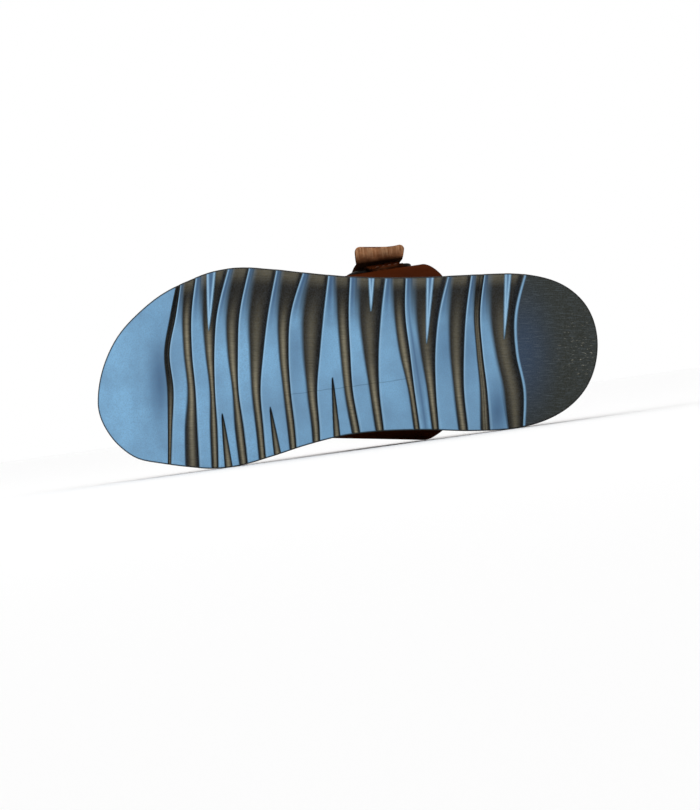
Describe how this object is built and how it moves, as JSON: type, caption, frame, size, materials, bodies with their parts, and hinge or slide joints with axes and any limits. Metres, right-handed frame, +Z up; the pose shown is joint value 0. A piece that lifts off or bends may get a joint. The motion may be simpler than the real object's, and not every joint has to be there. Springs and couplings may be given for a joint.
{
  "type": "buckled slide sandal",
  "caption": "Left slide sandal lying on its inner side, with a wide leather band, a buckled strap and a blue rubber sole with a curved bar tread.",
  "frame": {"origin": "centre of the bounding box, on the floor that the sandal lies on with its inner side", "axes": "+X from the toe to the heel, -Y the way the tread faces, +Z up, which is the sandal's outer side"},
  "size_m": [0.2722, 0.0906, 0.11],
  "materials": {
    "sole_rubber": "satin moulded rubber, light blue on the lands and near black in the grooves",
    "footbed_leather": "matt brown suede",
    "band_leather": "dark red-brown smooth leather with a soft sheen",
    "strap_leather": "brown leather with a napped underside",
    "dark_metal": "near-black glossy metal"
  },
  "bodies": {
    "root": {"outsole": "sole_rubber", "insole": "footbed_leather", "upper_band": "band_leather", "buckle_strap": "strap_leather", "buckle_chape": "strap_leather", "buckle_frame": "dark_metal", "buckle_prong": "dark_metal"}
  },
  "joints": []
}
